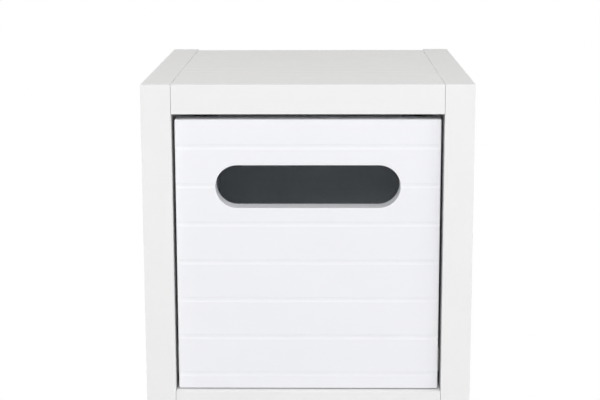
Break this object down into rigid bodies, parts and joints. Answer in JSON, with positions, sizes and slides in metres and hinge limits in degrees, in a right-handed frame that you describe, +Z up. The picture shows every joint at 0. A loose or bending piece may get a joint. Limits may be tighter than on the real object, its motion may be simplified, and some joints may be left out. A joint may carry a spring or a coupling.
{
  "type": "narrow bathroom chest",
  "caption": "Narrow free-standing chest of inset drawers with grooved fronts and oval hand slots, sliding on roller runners between thick side boards.",
  "frame": {"origin": "on the floor, under the middle of the chest's footprint", "axes": "+X to the right seen from the front, -Y out of the drawer fronts, +Z up"},
  "size_m": [0.335, 0.36, 1.03],
  "materials": {
    "frame_lacquer": "matt white lacquered board",
    "front_lacquer": "satin white lacquered fibreboard",
    "back_board": "white faced hardboard",
    "drawer_board": "pale blue-grey foil faced board",
    "drawer_bottom": "pale blue-grey faced hardboard",
    "runner_enamel": "white epoxy enamel",
    "roller_nylon": "natural nylon",
    "glide_plastic": "grey moulded plastic",
    "zinc_steel": "zinc plated",
    "dowel_wood": "plain beech"
  },
  "bodies": {
    "carcass": {"side_panel_left": "frame_lacquer", "side_panel_right": "frame_lacquer", "top_panel": "frame_lacquer", "divider_upper": "frame_lacquer", "divider_lower": "frame_lacquer", "bottom_panel": "frame_lacquer", "back_panel": "back_board", "carcass_dowels": "dowel_wood", "carcass_cam_bolts": "zinc_steel", "carcass_cam_discs": "zinc_steel", "back_panel_screws": "zinc_steel", "floor_glides": "glide_plastic", "cabinet_runner_screws": "zinc_steel", "cabinet_runner_lower_left": "runner_enamel", "cabinet_runner_lower_right": "runner_enamel", "cabinet_runner_middle_left": "runner_enamel", "cabinet_runner_middle_right": "runner_enamel", "cabinet_runner_upper_left": "runner_enamel", "cabinet_runner_upper_right": "runner_enamel"},
    "drawer_lower": {"drawer_lower_front": "front_lacquer", "drawer_lower_side_left": "drawer_board", "drawer_lower_side_right": "drawer_board", "drawer_lower_back": "drawer_board", "drawer_lower_bottom": "drawer_bottom", "drawer_lower_runner_left": "runner_enamel", "drawer_lower_runner_right": "runner_enamel", "drawer_lower_cam_fittings": "zinc_steel", "drawer_lower_screws": "zinc_steel"},
    "cabinet_roller_lower_left": {"cabinet_roller_lower_left": "roller_nylon"},
    "cabinet_roller_lower_right": {"cabinet_roller_lower_right": "roller_nylon"},
    "drawer_roller_lower_left": {"drawer_roller_lower_left": "roller_nylon"},
    "drawer_roller_lower_right": {"drawer_roller_lower_right": "roller_nylon"},
    "drawer_middle": {"drawer_middle_front": "front_lacquer", "drawer_middle_side_left": "drawer_board", "drawer_middle_side_right": "drawer_board", "drawer_middle_back": "drawer_board", "drawer_middle_bottom": "drawer_bottom", "drawer_middle_runner_left": "runner_enamel", "drawer_middle_runner_right": "runner_enamel", "drawer_middle_cam_fittings": "zinc_steel", "drawer_middle_screws": "zinc_steel"},
    "cabinet_roller_middle_left": {"cabinet_roller_middle_left": "roller_nylon"},
    "cabinet_roller_middle_right": {"cabinet_roller_middle_right": "roller_nylon"},
    "drawer_roller_middle_left": {"drawer_roller_middle_left": "roller_nylon"},
    "drawer_roller_middle_right": {"drawer_roller_middle_right": "roller_nylon"},
    "drawer_upper": {"drawer_upper_front": "front_lacquer", "drawer_upper_side_left": "drawer_board", "drawer_upper_side_right": "drawer_board", "drawer_upper_back": "drawer_board", "drawer_upper_bottom": "drawer_bottom", "drawer_upper_runner_left": "runner_enamel", "drawer_upper_runner_right": "runner_enamel", "drawer_upper_cam_fittings": "zinc_steel", "drawer_upper_screws": "zinc_steel"},
    "cabinet_roller_upper_left": {"cabinet_roller_upper_left": "roller_nylon"},
    "cabinet_roller_upper_right": {"cabinet_roller_upper_right": "roller_nylon"},
    "drawer_roller_upper_left": {"drawer_roller_upper_left": "roller_nylon"},
    "drawer_roller_upper_right": {"drawer_roller_upper_right": "roller_nylon"}
  },
  "joints": [
    {"name": "drawer_lower_slide", "type": "slide", "parent": "carcass", "child": "drawer_lower", "axis": [0, -1, 0], "range_m": [0, 0.23]},
    {"name": "cabinet_roller_lower_left_spin", "type": "hinge", "parent": "carcass", "child": "cabinet_roller_lower_left", "pos_m": [-0.132, -0.1355, 0.0946], "axis": [1, 0, 0], "continuous": true},
    {"name": "cabinet_roller_lower_right_spin", "type": "hinge", "parent": "carcass", "child": "cabinet_roller_lower_right", "pos_m": [0.132, -0.1355, 0.0946], "axis": [1, 0, 0], "continuous": true},
    {"name": "drawer_roller_lower_left_spin", "type": "hinge", "parent": "drawer_lower", "child": "drawer_roller_lower_left", "pos_m": [-0.1305, 0.1345, 0.09435], "axis": [1, 0, 0], "continuous": true},
    {"name": "drawer_roller_lower_right_spin", "type": "hinge", "parent": "drawer_lower", "child": "drawer_roller_lower_right", "pos_m": [0.1305, 0.1345, 0.09435], "axis": [1, 0, 0], "continuous": true},
    {"name": "drawer_middle_slide", "type": "slide", "parent": "carcass", "child": "drawer_middle", "axis": [0, -1, 0], "range_m": [0, 0.23]},
    {"name": "cabinet_roller_middle_left_spin", "type": "hinge", "parent": "carcass", "child": "cabinet_roller_middle_left", "pos_m": [-0.132, -0.1355, 0.4146], "axis": [1, 0, 0], "continuous": true},
    {"name": "cabinet_roller_middle_right_spin", "type": "hinge", "parent": "carcass", "child": "cabinet_roller_middle_right", "pos_m": [0.132, -0.1355, 0.4146], "axis": [1, 0, 0], "continuous": true},
    {"name": "drawer_roller_middle_left_spin", "type": "hinge", "parent": "drawer_middle", "child": "drawer_roller_middle_left", "pos_m": [-0.1305, 0.1345, 0.41435], "axis": [1, 0, 0], "continuous": true},
    {"name": "drawer_roller_middle_right_spin", "type": "hinge", "parent": "drawer_middle", "child": "drawer_roller_middle_right", "pos_m": [0.1305, 0.1345, 0.41435], "axis": [1, 0, 0], "continuous": true},
    {"name": "drawer_upper_slide", "type": "slide", "parent": "carcass", "child": "drawer_upper", "axis": [0, -1, 0], "range_m": [0, 0.23]},
    {"name": "cabinet_roller_upper_left_spin", "type": "hinge", "parent": "carcass", "child": "cabinet_roller_upper_left", "pos_m": [-0.132, -0.1355, 0.7346], "axis": [1, 0, 0], "continuous": true},
    {"name": "cabinet_roller_upper_right_spin", "type": "hinge", "parent": "carcass", "child": "cabinet_roller_upper_right", "pos_m": [0.132, -0.1355, 0.7346], "axis": [1, 0, 0], "continuous": true},
    {"name": "drawer_roller_upper_left_spin", "type": "hinge", "parent": "drawer_upper", "child": "drawer_roller_upper_left", "pos_m": [-0.1305, 0.1345, 0.73435], "axis": [1, 0, 0], "continuous": true},
    {"name": "drawer_roller_upper_right_spin", "type": "hinge", "parent": "drawer_upper", "child": "drawer_roller_upper_right", "pos_m": [0.1305, 0.1345, 0.73435], "axis": [1, 0, 0], "continuous": true}
  ],
  "couplings": [
    {"joint": "cabinet_roller_lower_left_spin", "follows": "drawer_lower_slide", "rad_per_m": 90.909},
    {"joint": "cabinet_roller_lower_right_spin", "follows": "drawer_lower_slide", "rad_per_m": 90.909},
    {"joint": "drawer_roller_lower_left_spin", "follows": "drawer_lower_slide", "rad_per_m": 90.909},
    {"joint": "drawer_roller_lower_right_spin", "follows": "drawer_lower_slide", "rad_per_m": 90.909},
    {"joint": "cabinet_roller_middle_left_spin", "follows": "drawer_middle_slide", "rad_per_m": 90.909},
    {"joint": "cabinet_roller_middle_right_spin", "follows": "drawer_middle_slide", "rad_per_m": 90.909},
    {"joint": "drawer_roller_middle_left_spin", "follows": "drawer_middle_slide", "rad_per_m": 90.909},
    {"joint": "drawer_roller_middle_right_spin", "follows": "drawer_middle_slide", "rad_per_m": 90.909},
    {"joint": "cabinet_roller_upper_left_spin", "follows": "drawer_upper_slide", "rad_per_m": 90.909},
    {"joint": "cabinet_roller_upper_right_spin", "follows": "drawer_upper_slide", "rad_per_m": 90.909},
    {"joint": "drawer_roller_upper_left_spin", "follows": "drawer_upper_slide", "rad_per_m": 90.909},
    {"joint": "drawer_roller_upper_right_spin", "follows": "drawer_upper_slide", "rad_per_m": 90.909}
  ]
}
